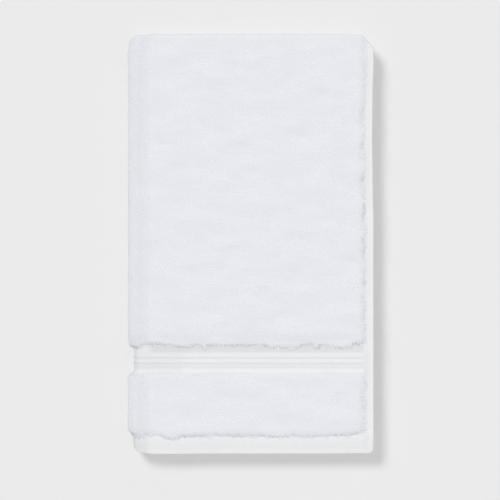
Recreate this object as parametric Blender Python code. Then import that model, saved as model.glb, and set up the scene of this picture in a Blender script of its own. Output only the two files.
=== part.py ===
"""Hand towel of white cotton terry, folded in half end to end, then in half side to side.

The towel lies flat on the surface z = 0, in metres: +Y runs towards the end fold, +X towards the
selvedges, and the origin is under the middle of its outline. It is one closed solid, the woven cloth
with its pile, ribbed bands, selvedges and hems, in the four layers that the two folds make.

Every point of the cloth is named by three numbers. across is its distance from the side fold's line
and along its distance from the end fold's line, both measured in the flat cloth, and face is +1 or -1
for the cloth's two faces. The end fold bends the cloth in the plane of along and depth. The side fold
then bends the two layers that this gives, in the plane of across and height.
"""

from collections import namedtuple

import bpy
import numpy as np

MM = 0.001

# Outline of the folded towel, seen from above
FOLDED_WIDTH = 0.2053
FOLDED_LENGTH = 0.3500

# Cloth: its whole thickness, with the pile of both faces where there is pile
TERRY = 0.0048
PLAIN = 0.0016
PILE = TERRY - PLAIN

# Layers: the distance from the middle of one to the middle of the next
LAYER_GAP = 0.0007
TERRY_PITCH = TERRY + LAYER_GAP
SELVEDGE_PITCH = 0.0053
HEM_PITCH = 0.0049
SIDE_FOLD_INSIDE = 0.0005

# Height of the middle of the lowest layer, where it rests and at its free edges
TERRY_SEAT = 0.5 * TERRY
SELVEDGE_SEAT = 0.0023
HEM_SEAT = 0.0021

# Width of the strips in which the layers close up towards their selvedges and hems
SELVEDGE_SETTLE = 0.0090
HEM_SETTLE = 0.0170

# Distance from the hemmed edge over which the cloth takes up what that edge is drawn back
HEM_DRAW = 0.0340

# Pile fans out round the folds by this much
SIDE_FOLD_FAN = 0.0010
END_FOLD_FAN = 0.0004

# The stack rises by a share of its height near the side fold, and swells and sinks over its face in
# long waves: across and along are radians for each metre, and start the angle at the origin
FOLD_RISE = 0.025
FOLD_RISE_REACH = 0.034
Swell = namedtuple("Swell", "height_share across along start")
SWELLS = (
    Swell(0.0080, 46.0, -31.0, 0.47),
    Swell(0.0080, 46.0, 31.0, 1.13),
    Swell(0.0096, 27.0, 27.0, 2.60),
)

# Free edges rise and fall a little, each layer on its own
SELVEDGE_FLUTTER = 0.0005
HEM_FLUTTER = 0.0002
FLUTTER_LENGTH = 0.085

# The hidden layers' borders sway by this share of the outer layers'
INNER_SWAY = 0.2

# Steps of the surface round each fold, and the height under which a point is on the surface below
SIDE_FOLD_STEPS = 12
END_FOLD_STEPS = 6
TOUCHING = 1e-7

# Lines of the cloth that run parallel to the hems. at is the distance from the hemmed edge in mm, pile
# the share of the pile's height, rib and hem what they add to the plain cloth in mm, and low and main
# the shares in which the line follows the sway of the lower and of the main panel's border
LengthLine = namedtuple("LengthLine", "name at pile rib hem low main")
LENGTH_LINES = (
    LengthLine("hem edge", 0.0, 0.00, 0.0, 0.8, 0.0, 0.0),
    LengthLine("hem fold", 1.2, 0.00, 0.0, 1.0, 0.0, 0.0),
    LengthLine("hem", 4.8, 0.00, 0.0, 1.0, 0.2, 0.0),
    LengthLine("hem upper part", 9.0, 0.00, 0.0, 1.0, 0.6, 0.0),
    LengthLine("hem seam", 12.6, 0.00, 0.0, 1.0, 0.9, 0.0),
    LengthLine("lower pile foot", 15.1, 0.00, 0.0, 0.0, 1.0, 0.0),
    LengthLine("lower pile shoulder", 15.6, 0.44, 0.0, 0.0, 1.0, 0.0),
    LengthLine("lower pile brow", 16.9, 0.76, 0.0, 0.0, 1.0, 0.0),
    LengthLine("lower pile", 19.5, 1.00, 0.0, 0.0, 0.8, 0.0),
    LengthLine("lower panel", 28.0, 1.00, 0.0, 0.0, 0.2, 0.0),
    LengthLine("lower panel middle", 45.0, 1.00, 0.0, 0.0, 0.0, 0.0),
    LengthLine("band pile", 62.0, 1.00, 0.0, 0.0, 0.0, 0.0),
    LengthLine("band pile brow", 64.8, 0.80, 0.0, 0.0, 0.0, 0.0),
    LengthLine("band pile shoulder", 65.9, 0.60, 0.0, 0.0, 0.0, 0.0),
    LengthLine("raised strip", 66.6, 0.00, 1.8, 0.0, 0.0, 0.0),
    LengthLine("raised strip foot", 72.0, 0.00, 0.0, 0.0, 0.0, 0.0),
    LengthLine("low groove", 74.3, 0.00, 0.0, 0.0, 0.0, 0.0),
    LengthLine("second rib fall", 75.7, 0.00, 0.9, 0.0, 0.0, 0.0),
    LengthLine("second rib rise", 77.4, 0.00, 0.9, 0.0, 0.0, 0.0),
    LengthLine("middle groove", 78.9, 0.00, 0.0, 0.0, 0.0, 0.0),
    LengthLine("first rib fall", 80.3, 0.00, 0.9, 0.0, 0.0, 0.0),
    LengthLine("first rib rise", 82.0, 0.00, 0.9, 0.0, 0.0, 0.0),
    LengthLine("top groove", 83.7, 0.00, 0.0, 0.0, 0.0, 0.0),
    LengthLine("edge row foot", 87.3, 0.00, 0.0, 0.0, 0.0, 0.4),
    LengthLine("edge row", 88.8, 0.00, 0.8, 0.0, 0.0, 0.7),
    LengthLine("main pile foot", 90.4, 0.00, 0.0, 0.0, 0.0, 1.0),
    LengthLine("main pile shoulder", 90.9, 0.44, 0.0, 0.0, 0.0, 1.0),
    LengthLine("main pile brow", 92.2, 0.76, 0.0, 0.0, 0.0, 1.0),
    LengthLine("main pile", 94.9, 1.00, 0.0, 0.0, 0.0, 0.8),
    LengthLine("main panel foot", 101.0, 1.00, 0.0, 0.0, 0.0, 0.3),
    LengthLine("main panel first", 150.0, 1.00, 0.0, 0.0, 0.0, 0.0),
    LengthLine("main panel second", 212.0, 1.00, 0.0, 0.0, 0.0, 0.0),
    LengthLine("main panel third", 274.0, 1.00, 0.0, 0.0, 0.0, 0.0),
    LengthLine("main panel top", 336.0, 1.00, 0.0, 0.0, 0.0, 0.0),
)

# Lines of the cloth that run parallel to the selvedges. at is the distance from the selvedged edge in
# mm, pile the share of the pile's height, end and hem how far the end fold and the hemmed edge draw
# back there in mm, and low and main the sway of the two panels' borders towards the hem in mm
WidthLine = namedtuple("WidthLine", "name at pile end hem low main")
WIDTH_LINES = (
    WidthLine("selvedged edge", 0.0, 0.00, 8.0, 2.2, -3.5, -3.0),
    WidthLine("selvedge", 3.2, 0.00, 4.5, 0.4, -3.5, -3.0),
    WidthLine("pile foot", 7.2, 0.00, 1.3, 0.3, -3.5, -3.0),
    WidthLine("pile shoulder", 7.8, 0.44, 1.0, 0.3, -3.2, -2.8),
    WidthLine("pile brow", 9.4, 0.76, 0.6, 0.3, -2.6, -2.2),
    WidthLine("pile", 13.5, 1.00, 0.3, 0.3, -1.2, -1.0),
    WidthLine("right part", 45.0, 1.00, 0.0, 0.0, 0.0, 0.0),
    WidthLine("middle part", 95.0, 1.00, 0.0, 0.0, 0.0, 0.0),
    WidthLine("left part", 145.0, 1.00, 0.0, 0.0, 0.0, 0.2),
    WidthLine("main border dip", 158.0, 1.00, 0.0, -0.2, 0.1, 2.0),
    WidthLine("lower border dip", 172.0, 1.00, 0.0, -0.3, 1.9, -0.3),
    WidthLine("before the fold", 184.5, 1.00, 0.2, -0.3, -1.0, -1.2),
    WidthLine("start of the fold", 190.0, 1.00, 0.4, 0.1, -0.8, -1.0),
    WidthLine("shoulder of the fold", 196.5, 1.00, 0.8, 1.3, 3.2, 1.8),
    WidthLine("edge of the fold", 202.8, 1.00, 2.0, 4.5, 2.4, 1.0),
)

# The side fold's axis inside the outline's left edge, and the selvedges inside its right edge, in mm,
# at a distance from the hemmed edge in mm
SideLine = namedtuple("SideLine", "at inset")
FOLD_LINE = (
    SideLine(0.0, 14.4),
    SideLine(15.2, 14.4),
    SideLine(18.6, 12.1),
    SideLine(64.8, 12.1),
    SideLine(67.6, 15.2),
    SideLine(88.0, 15.2),
    SideLine(90.2, 12.1),
    SideLine(334.0, 12.1),
    SideLine(352.0, 15.2),
)
SELVEDGE_LINE = (
    SideLine(0.0, 0.5),
    SideLine(15.0, 0.15),
    SideLine(190.0, 0.2),
    SideLine(229.0, 0.75),
    SideLine(265.0, 1.2),
    SideLine(296.0, 0.9),
    SideLine(329.0, 0.0),
    SideLine(350.0, 0.0),
)

# The four layers. half is 1 for the upper and 0 for the lower two, outer 1 for the top and the bottom
# one, selvedge and hem how far those edges lie inside the top layer's in mm, and start the angle at
# which their flutter begins
Layer = namedtuple("Layer", "name half outer selvedge hem start")
LAYERS = (
    Layer("top", 1, 1, 0.0, 0.0, 0.4),
    Layer("second", 1, 0, 1.4, 1.8, 2.3),
    Layer("third", 0, 0, 0.6, 1.1, 4.1),
    Layer("bottom", 0, 1, 1.9, 0.7, 5.6),
)

COTTON_WHITE = (0.80, 0.81, 0.84, 1.0)
COTTON_ROUGHNESS = 0.95

# Half of the cloth that each fold takes up, the radius of its outermost surface, and the length of
# cloth from there to the free edge
SIDE_FOLD_HALF = 0.5 * np.pi * (SIDE_FOLD_INSIDE + TERRY_PITCH)
END_FOLD_HALF = 0.25 * np.pi * TERRY_PITCH
SIDE_FOLD_RADIUS = SIDE_FOLD_INSIDE + 1.5 * TERRY_PITCH + 0.5 * TERRY + SIDE_FOLD_FAN
END_FOLD_RADIUS = 0.5 * TERRY_PITCH + 0.5 * TERRY + END_FOLD_FAN
FLAT_WIDTH = FOLDED_WIDTH - SIDE_FOLD_RADIUS
FLAT_LENGTH = FOLDED_LENGTH - END_FOLD_RADIUS


def ease(share):
    """0 below 0 and 1 above 1, with a smooth S between."""
    share = np.clip(share, 0.0, 1.0)
    return share * share * (3.0 - 2.0 * share)


def slack_share(from_edge, flat):
    """0 in the third of the flat cloth next to its free edge, rising smoothly to 1 at the fold."""
    return ease(1.5 * from_edge / flat - 0.5)


def straight(at, lines, name):
    """A named column of a table at each place, on straight lines between its rows."""
    return np.interp(at, [line.at * MM for line in lines], [getattr(line, name) for line in lines])


def eased(at, lines, name):
    """A named column of a table at each place, in metres, on smooth S curves between its rows."""
    places = np.array([line.at * MM for line in lines])
    values = np.array([getattr(line, name) * MM for line in lines])
    row = np.clip(np.searchsorted(places, at, side="right") - 1, 0, len(places) - 2)
    share = ease((at - places[row]) / (places[row + 1] - places[row]))
    return values[row] + share * (values[row + 1] - values[row])


def stations(lines, flat, fold_half, steps):
    """Signed distances from a fold's line at which the cloth is divided into faces.

    They are the table's lines on each flat half, and equal steps round the fold between them.
    """
    places = np.array([line.at * MM for line in lines if line.at * MM < flat - MM])
    half = flat + fold_half - places
    return np.concatenate([-half, np.linspace(-fold_half, fold_half, steps + 1), half[::-1]])


def layer_shares(across, along):
    """How far each point belongs to each of the four layers, passing smoothly round the folds."""
    upper = ease(0.5 + 0.5 * across / SIDE_FOLD_HALF)
    outer = ease(0.5 + 0.5 * along / END_FOLD_HALF)
    return [
        (upper if layer.half else 1.0 - upper) * (outer if layer.outer else 1.0 - outer)
        for layer in LAYERS
    ]


def woven(from_selvedge, from_hem):
    """The share of the pile's height, and the cloth's thickness, at each point of the flat cloth."""
    pile_across = straight(from_selvedge, WIDTH_LINES, "pile")
    pile = pile_across * straight(from_hem, LENGTH_LINES, "pile")
    rib = pile_across * straight(from_hem, LENGTH_LINES, "rib") * MM
    hem = straight(from_hem, LENGTH_LINES, "hem") * MM
    return pile, PLAIN + PILE * pile + rib + hem


def border_sway(from_selvedge, from_hem, along):
    """How far each point is carried towards the hem by the uneven borders of the two panels."""
    low = eased(from_selvedge, WIDTH_LINES, "low") * straight(from_hem, LENGTH_LINES, "low")
    main = eased(from_selvedge, WIDTH_LINES, "main") * straight(from_hem, LENGTH_LINES, "main")
    outer = ease(0.5 + 0.5 * along / END_FOLD_HALF)
    return (low + main) * (INNER_SWAY + (1.0 - INNER_SWAY) * outer)


def settling(at_selvedge, at_hem):
    """The layers' pitch and the lowest one's seat at a place of the folded towel.

    Both are those of the terry, less what the thinner selvedges or hems let them sink. With them go
    the shares in which the place has settled as a selvedge and as a hem.
    """
    selvedge = ease(1.0 - at_selvedge / SELVEDGE_SETTLE)
    hem = ease(1.0 - at_hem / HEM_SETTLE)
    closing = np.maximum((TERRY_PITCH - HEM_PITCH) * hem, (TERRY_PITCH - SELVEDGE_PITCH) * selvedge)
    sinking = np.maximum((TERRY_SEAT - HEM_SEAT) * hem, (TERRY_SEAT - SELVEDGE_SEAT) * selvedge)
    return TERRY_PITCH - closing, TERRY_SEAT - sinking, selvedge, hem


def folded(across, along, face):
    """Where each point of one face of the flat cloth lies in the folded towel."""
    from_selvedge = FLAT_WIDTH + SIDE_FOLD_HALF - np.abs(across)
    from_hem = FLAT_LENGTH + END_FOLD_HALF - np.abs(along)
    shares = layer_shares(across, along)
    pile, thickness = woven(from_selvedge, from_hem)

    # Along: the hem's edge, the borders' sway, and the slack that brings the cloth to the end fold
    edge_y = -0.5 * FOLDED_LENGTH + sum(s * layer.hem * MM for s, layer in zip(shares, LAYERS))
    drawn = eased(from_selvedge, WIDTH_LINES, "hem") * ease(1.0 - from_hem / HEM_DRAW)
    end_axis = 0.5 * FOLDED_LENGTH - eased(from_selvedge, WIDTH_LINES, "end") - END_FOLD_RADIUS
    slack = (end_axis - edge_y - FLAT_LENGTH) * slack_share(from_hem, FLAT_LENGTH)
    flat_y = edge_y + from_hem + drawn - border_sway(from_selvedge, from_hem, along) + slack
    at_hem = np.minimum(flat_y, end_axis) + 0.5 * FOLDED_LENGTH

    # Across: the selvedge's edge, and the slack that brings the cloth to the side fold
    edge_x = 0.5 * FOLDED_WIDTH - eased(at_hem, SELVEDGE_LINE, "inset")
    edge_x = edge_x - sum(s * layer.selvedge * MM for s, layer in zip(shares, LAYERS))
    side_axis = -0.5 * FOLDED_WIDTH + eased(at_hem, FOLD_LINE, "inset")
    slack = (side_axis - edge_x + FLAT_WIDTH) * slack_share(from_selvedge, FLAT_WIDTH)
    flat_x = edge_x - from_selvedge + slack
    pitch, seat, selvedge, hem = settling(0.5 * FOLDED_WIDTH - flat_x, at_hem)

    # End fold: outwards is the distance from its axis, depth the distance from the inner face
    turn = 0.5 * np.pi * np.clip(along / END_FOLD_HALF, -1.0, 1.0)
    fan = END_FOLD_FAN * pile * np.cos(turn) * (face > 0)
    outwards = 0.5 * (pitch + face * thickness) + fan
    y = np.where(np.abs(along) < END_FOLD_HALF, end_axis + outwards * np.cos(turn), flat_y)
    depth = pitch + outwards * np.sin(turn)

    # Side fold: the same again, with the depth as the distance from its axis
    turn = 0.5 * np.pi * np.clip(across / SIDE_FOLD_HALF, -1.0, 1.0)
    fan = SIDE_FOLD_FAN * pile * np.cos(turn) * ((face > 0) & (along > 0))
    outwards = SIDE_FOLD_INSIDE + depth + fan
    x = np.where(np.abs(across) < SIDE_FOLD_HALF, side_axis - outwards * np.cos(turn), flat_x)
    z = seat + 1.5 * pitch + SIDE_FOLD_INSIDE + outwards * np.sin(turn)

    # Unevenness: the free edges flutter, and the whole stack rises at the side fold and swells
    run = 2.0 * np.pi / FLUTTER_LENGTH
    for s, layer in zip(shares, LAYERS):
        z = z + s * SELVEDGE_FLUTTER * selvedge * np.sin(run * y + layer.start)
        z = z + s * HEM_FLUTTER * hem * np.sin(run * x + layer.start)
    rise = FOLD_RISE * (1.0 - ease((x + 0.5 * FOLDED_WIDTH) / FOLD_RISE_REACH))
    swell = sum(s.height_share * np.sin(s.across * x + s.along * y + s.start) for s in SWELLS)
    return x, y, z * (1.0 + rise + swell)


def towel_mesh():
    """The closed surface of the towel: its two faces as grids, joined round the rim."""
    across = stations(WIDTH_LINES, FLAT_WIDTH, SIDE_FOLD_HALF, SIDE_FOLD_STEPS)
    along = stations(LENGTH_LINES, FLAT_LENGTH, END_FOLD_HALF, END_FOLD_STEPS)
    grid = np.meshgrid(across, along, indexing="ij")
    points = np.concatenate([np.stack(folded(*grid, face), axis=-1).reshape(-1, 3) for face in (1, -1)])
    points[:, :2] -= 0.5 * (points[:, :2].min(axis=0) + points[:, :2].max(axis=0))
    points[points[:, 2] < TOUCHING, 2] = 0.0

    count = len(across) * len(along)
    number = np.arange(count).reshape(len(across), len(along))
    outer = np.stack([number[:-1, :-1], number[:-1, 1:], number[1:, 1:], number[1:, :-1]], axis=-1)
    outer = outer.reshape(-1, 4)
    inner = outer[:, ::-1] + count
    rim = np.concatenate([number[:, 0], number[-1, 1:], number[-2::-1, -1], number[0, -2:0:-1]])
    after = np.roll(rim, -1)
    edge = np.stack([rim, after, after + count, rim + count], axis=-1)

    mesh = bpy.data.meshes.new("hand_towel")
    mesh.from_pydata(points.tolist(), [], np.concatenate([outer, inner, edge]).tolist())
    mesh.update()
    return mesh


def cotton():
    """White cotton: a pale, rough, faintly blue white."""
    material = bpy.data.materials.new("white_cotton_terry")
    material.use_nodes = True
    shader = material.node_tree.nodes["Principled BSDF"]
    shader.inputs["Base Color"].default_value = COTTON_WHITE
    shader.inputs["Roughness"].default_value = COTTON_ROUGHNESS
    shader.inputs["Metallic"].default_value = 0.0
    return material


for leftover in list(bpy.data.objects):
    bpy.data.objects.remove(leftover)

towel = bpy.data.objects.new("hand_towel", towel_mesh())
towel.data.shade_smooth()
towel.data.materials.append(cotton())
bpy.context.scene.collection.objects.link(towel)
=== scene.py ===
"""Hand towel of white cotton terry, folded in half end to end, then in half side to side.

The cloth is a thin sheet that carries its flat weave: selvedges, hems and the ribbed band. The terry's
loops stand on it as pieces of their own. Both are laid out on the flat cloth and go through the same
two folds as the solid. across is the distance from the side fold's line, along the distance from the
end fold's line, and lift the height over the middle of the cloth, all in the flat cloth, in metres.
"""

from collections import namedtuple

import bpy
import numpy as np
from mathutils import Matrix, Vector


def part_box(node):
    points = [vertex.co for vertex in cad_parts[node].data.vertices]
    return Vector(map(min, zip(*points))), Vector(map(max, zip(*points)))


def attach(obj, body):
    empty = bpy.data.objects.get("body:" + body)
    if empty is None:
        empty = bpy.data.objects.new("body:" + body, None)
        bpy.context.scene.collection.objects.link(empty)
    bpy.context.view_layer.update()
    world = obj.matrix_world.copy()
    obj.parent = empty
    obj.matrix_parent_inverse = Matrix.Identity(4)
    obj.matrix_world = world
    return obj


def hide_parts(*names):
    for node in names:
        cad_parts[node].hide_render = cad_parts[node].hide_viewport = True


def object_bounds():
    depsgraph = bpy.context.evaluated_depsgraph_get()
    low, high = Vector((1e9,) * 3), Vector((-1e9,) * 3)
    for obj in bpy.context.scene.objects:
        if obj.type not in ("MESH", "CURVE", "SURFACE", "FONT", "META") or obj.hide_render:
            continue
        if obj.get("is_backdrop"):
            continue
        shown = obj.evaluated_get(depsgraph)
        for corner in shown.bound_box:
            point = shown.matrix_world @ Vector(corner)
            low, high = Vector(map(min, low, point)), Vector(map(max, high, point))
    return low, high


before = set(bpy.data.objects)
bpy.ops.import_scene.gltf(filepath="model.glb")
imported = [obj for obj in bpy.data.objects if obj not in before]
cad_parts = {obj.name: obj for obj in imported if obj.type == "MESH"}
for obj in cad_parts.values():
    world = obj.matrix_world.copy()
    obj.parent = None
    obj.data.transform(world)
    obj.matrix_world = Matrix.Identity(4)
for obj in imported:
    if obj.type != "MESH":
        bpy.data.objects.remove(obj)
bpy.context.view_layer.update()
box_low, box_high = (np.array(corner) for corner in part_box("hand_towel"))

MM = 0.001

# ---------------------------------------------------------------- the cloth and how it is folded

FOLDED_WIDTH = 0.2053
FOLDED_LENGTH = 0.3500
TERRY = 0.0048
PLAIN = 0.0016
PILE = TERRY - PLAIN

TERRY_PITCH = 0.0055
SELVEDGE_PITCH = 0.0053
HEM_PITCH = 0.0049
SIDE_FOLD_INSIDE = 0.0005
TERRY_SEAT = 0.0024
SELVEDGE_SEAT = 0.0023
HEM_SEAT = 0.0021
SELVEDGE_SETTLE = 0.0090
HEM_SETTLE = 0.0170
HEM_DRAW = 0.0340
SIDE_FOLD_FAN = 0.0010
END_FOLD_FAN = 0.0004
FOLD_RISE = 0.025
FOLD_RISE_REACH = 0.034
SELVEDGE_FLUTTER = 0.0005
HEM_FLUTTER = 0.0002
FLUTTER_LENGTH = 0.085
INNER_SWAY = 0.2

Swell = namedtuple("Swell", "height_share across along start")
SWELLS = (
    Swell(0.0080, 46.0, -31.0, 0.47),
    Swell(0.0080, 46.0, 31.0, 1.13),
    Swell(0.0096, 27.0, 27.0, 2.60),
)

# How far the borders of the two panels sway towards the hem: the sway itself by the distance from the
# selvedged edge, and the share of it by the distance from the hemmed edge, all in mm. end and hem are
# how far the end fold and the hemmed edge draw back there
WidthLine = namedtuple("WidthLine", "at end hem low main")
WIDTH_LINES = (
    WidthLine(0.0, 8.0, 2.2, -3.5, -3.0),
    WidthLine(3.2, 4.5, 0.4, -3.5, -3.0),
    WidthLine(7.2, 1.3, 0.3, -3.5, -3.0),
    WidthLine(7.8, 1.0, 0.3, -3.2, -2.8),
    WidthLine(9.4, 0.6, 0.3, -2.6, -2.2),
    WidthLine(13.5, 0.3, 0.3, -1.2, -1.0),
    WidthLine(45.0, 0.0, 0.0, 0.0, 0.0),
    WidthLine(95.0, 0.0, 0.0, 0.0, 0.0),
    WidthLine(145.0, 0.0, 0.0, 0.0, 0.2),
    WidthLine(158.0, 0.0, -0.2, 0.1, 2.0),
    WidthLine(172.0, 0.0, -0.3, 1.9, -0.3),
    WidthLine(184.5, 0.2, -0.3, -1.0, -1.2),
    WidthLine(190.0, 0.4, 0.1, -0.8, -1.0),
    WidthLine(196.5, 0.8, 1.3, 3.2, 1.8),
    WidthLine(202.8, 2.0, 4.5, 2.4, 1.0),
)
SwayLine = namedtuple("SwayLine", "at low main")
SWAY_LINES = (
    SwayLine(0.0, 0.0, 0.0),
    SwayLine(4.8, 0.2, 0.0),
    SwayLine(9.0, 0.6, 0.0),
    SwayLine(12.6, 0.9, 0.0),
    SwayLine(15.1, 1.0, 0.0),
    SwayLine(16.9, 1.0, 0.0),
    SwayLine(19.5, 0.8, 0.0),
    SwayLine(28.0, 0.2, 0.0),
    SwayLine(45.0, 0.0, 0.0),
    SwayLine(83.7, 0.0, 0.0),
    SwayLine(87.3, 0.0, 0.4),
    SwayLine(88.8, 0.0, 0.7),
    SwayLine(90.4, 0.0, 1.0),
    SwayLine(92.2, 0.0, 1.0),
    SwayLine(94.9, 0.0, 0.8),
    SwayLine(101.0, 0.0, 0.3),
    SwayLine(150.0, 0.0, 0.0),
)

# The side fold's axis inside the left edge, and the selvedges inside the right one, in mm, by the
# distance from the hemmed edge in mm
SideLine = namedtuple("SideLine", "at inset")
FOLD_LINE = (
    SideLine(0.0, 14.4),
    SideLine(15.2, 14.4),
    SideLine(18.6, 12.1),
    SideLine(64.8, 12.1),
    SideLine(67.6, 15.2),
    SideLine(88.0, 15.2),
    SideLine(90.2, 12.1),
    SideLine(334.0, 12.1),
    SideLine(352.0, 15.2),
)
SELVEDGE_LINE = (
    SideLine(0.0, 0.5),
    SideLine(15.0, 0.15),
    SideLine(190.0, 0.2),
    SideLine(229.0, 0.75),
    SideLine(265.0, 1.2),
    SideLine(296.0, 0.9),
    SideLine(329.0, 0.0),
    SideLine(350.0, 0.0),
)

# The four layers. half is 1 for the upper and 0 for the lower two, outer 1 for the top and the bottom
# one, selvedge and hem how far those edges lie inside the top layer's in mm, start a wave's angle
Layer = namedtuple("Layer", "name half outer selvedge hem start")
LAYERS = (
    Layer("top", 1, 1, 0.0, 0.0, 0.4),
    Layer("second", 1, 0, 1.4, 1.8, 2.3),
    Layer("third", 0, 0, 0.6, 1.1, 4.1),
    Layer("bottom", 0, 1, 1.9, 0.7, 5.6),
)

# Half of the cloth that each fold takes up, its outermost radius, and the cloth from there to the edge
SIDE_FOLD_HALF = 0.5 * np.pi * (SIDE_FOLD_INSIDE + TERRY_PITCH)
END_FOLD_HALF = 0.25 * np.pi * TERRY_PITCH
SIDE_FOLD_RADIUS = SIDE_FOLD_INSIDE + 1.5 * TERRY_PITCH + 0.5 * TERRY + SIDE_FOLD_FAN
END_FOLD_RADIUS = 0.5 * TERRY_PITCH + 0.5 * TERRY + END_FOLD_FAN
FLAT_WIDTH = FOLDED_WIDTH - SIDE_FOLD_RADIUS
FLAT_LENGTH = FOLDED_LENGTH - END_FOLD_RADIUS
CUT_WIDTH = 2.0 * (FLAT_WIDTH + SIDE_FOLD_HALF)
CUT_LENGTH = 2.0 * (FLAT_LENGTH + END_FOLD_HALF)


def ease(share):
    """0 below 0 and 1 above 1, with a smooth S between."""
    share = np.clip(share, 0.0, 1.0)
    return share * share * (3.0 - 2.0 * share)


def rounded(inside, width):
    """A quarter ellipse that rises from 0 at the edge to 1 at that width inside it."""
    return np.sqrt(1.0 - (1.0 - np.clip(inside / width, 0.0, 1.0)) ** 2)


def bump(at, middle, half_width):
    """A hump 1 high: the squared cosine of the distance from its middle, 0 past its half width."""
    return np.cos(0.5 * np.pi * np.clip((at - middle) / half_width, -1.0, 1.0)) ** 2


def straight(at, lines, name):
    """A named column of a table at each place, on straight lines between its rows."""
    return np.interp(at, [line.at * MM for line in lines], [getattr(line, name) for line in lines])


def eased(at, lines, name):
    """A named column of a table at each place, in metres, on smooth S curves between its rows."""
    places = np.array([line.at * MM for line in lines])
    values = np.array([getattr(line, name) * MM for line in lines])
    row = np.clip(np.searchsorted(places, at, side="right") - 1, 0, len(places) - 2)
    share = ease((at - places[row]) / (places[row + 1] - places[row]))
    return values[row] + share * (values[row + 1] - values[row])


def edges(across, along):
    """The distances from the selvedged and from the hemmed edge, at a point of the flat cloth."""
    return 0.5 * CUT_WIDTH - np.abs(across), 0.5 * CUT_LENGTH - np.abs(along)


def layer_shares(across, along):
    """How far each point belongs to each of the four layers, passing smoothly round the folds."""
    upper = ease(0.5 + 0.5 * across / SIDE_FOLD_HALF)
    outer = ease(0.5 + 0.5 * along / END_FOLD_HALF)
    return [
        (upper if layer.half else 1.0 - upper) * (outer if layer.outer else 1.0 - outer)
        for layer in LAYERS
    ]


def slack_share(from_edge, flat):
    """0 in the third of the flat cloth next to its free edge, rising smoothly to 1 at the fold."""
    return ease(1.5 * from_edge / flat - 0.5)


def folded(across, along, lift):
    """Where points of the flat cloth, at heights lift over its middle, lie in the folded towel.

    The end fold turns the cloth half round in the plane of along and depth, at a distance of half the
    layers' pitch and the lift from its axis. The side fold then turns the two layers that this gives
    in the plane of across and height, with their depth as the distance from its axis.
    """
    from_selvedge, from_hem = edges(across, along)
    shares = layer_shares(across, along)
    pile = pile_share(from_selvedge, from_hem)

    edge_y = -0.5 * FOLDED_LENGTH + sum(s * layer.hem * MM for s, layer in zip(shares, LAYERS))
    drawn = eased(from_selvedge, WIDTH_LINES, "hem") * ease(1.0 - from_hem / HEM_DRAW)
    sway = eased(from_selvedge, WIDTH_LINES, "low") * straight(from_hem, SWAY_LINES, "low")
    sway = sway + eased(from_selvedge, WIDTH_LINES, "main") * straight(from_hem, SWAY_LINES, "main")
    sway = sway * (INNER_SWAY + (1.0 - INNER_SWAY) * ease(0.5 + 0.5 * along / END_FOLD_HALF))
    end_axis = 0.5 * FOLDED_LENGTH - eased(from_selvedge, WIDTH_LINES, "end") - END_FOLD_RADIUS
    slack = (end_axis - edge_y - FLAT_LENGTH) * slack_share(from_hem, FLAT_LENGTH)
    flat_y = edge_y + from_hem + drawn - sway + slack
    at_hem = np.minimum(flat_y, end_axis) + 0.5 * FOLDED_LENGTH

    edge_x = 0.5 * FOLDED_WIDTH - eased(at_hem, SELVEDGE_LINE, "inset")
    edge_x = edge_x - sum(s * layer.selvedge * MM for s, layer in zip(shares, LAYERS))
    side_axis = -0.5 * FOLDED_WIDTH + eased(at_hem, FOLD_LINE, "inset")
    slack = (side_axis - edge_x + FLAT_WIDTH) * slack_share(from_selvedge, FLAT_WIDTH)
    flat_x = edge_x - from_selvedge + slack

    selvedge = ease(1.0 - (0.5 * FOLDED_WIDTH - flat_x) / SELVEDGE_SETTLE)
    hem = ease(1.0 - at_hem / HEM_SETTLE)
    pitch = TERRY_PITCH - np.maximum(
        (TERRY_PITCH - HEM_PITCH) * hem, (TERRY_PITCH - SELVEDGE_PITCH) * selvedge
    )
    seat = TERRY_SEAT - np.maximum(
        (TERRY_SEAT - HEM_SEAT) * hem, (TERRY_SEAT - SELVEDGE_SEAT) * selvedge
    )

    turn = 0.5 * np.pi * np.clip(along / END_FOLD_HALF, -1.0, 1.0)
    outwards = 0.5 * pitch + lift + END_FOLD_FAN * pile * np.cos(turn) * (lift > 0)
    y = np.where(np.abs(along) < END_FOLD_HALF, end_axis + outwards * np.cos(turn), flat_y)
    depth = pitch + outwards * np.sin(turn)

    turn = 0.5 * np.pi * np.clip(across / SIDE_FOLD_HALF, -1.0, 1.0)
    fan = SIDE_FOLD_FAN * pile * np.cos(turn) * ((lift > 0) & (along > 0))
    outwards = SIDE_FOLD_INSIDE + depth + fan
    x = np.where(np.abs(across) < SIDE_FOLD_HALF, side_axis - outwards * np.cos(turn), flat_x)
    z = seat + 1.5 * pitch + SIDE_FOLD_INSIDE + outwards * np.sin(turn)

    run = 2.0 * np.pi / FLUTTER_LENGTH
    for s, layer in zip(shares, LAYERS):
        z = z + s * SELVEDGE_FLUTTER * selvedge * np.sin(run * y + layer.start)
        z = z + s * HEM_FLUTTER * hem * np.sin(run * x + layer.start)
    rise = FOLD_RISE * (1.0 - ease((x + 0.5 * FOLDED_WIDTH) / FOLD_RISE_REACH))
    swell = sum(s.height_share * np.sin(s.across * x + s.along * y + s.start) for s in SWELLS)
    return np.stack([x, y, z * (1.0 + rise + swell)], axis=-1)


# ---------------------------------------------------------------- the weave, across the cloth's length

SELVEDGE_PILE_FOOT = 0.0072
SELVEDGE_PILE_EDGE = 0.0063
LOWER_PILE_FOOT = 0.0146
LOWER_PILE_EDGE = 0.0044
LOWER_PILE_TOP = 0.0620
STRIP_FOOT = 0.0720
STRIP_LOOPS_END = 0.0664
MAIN_PILE_FOOT = 0.0904
MAIN_PILE_EDGE = 0.0045
EDGE_ROUND = 0.0006
RIM_SHARE = 0.35

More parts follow.
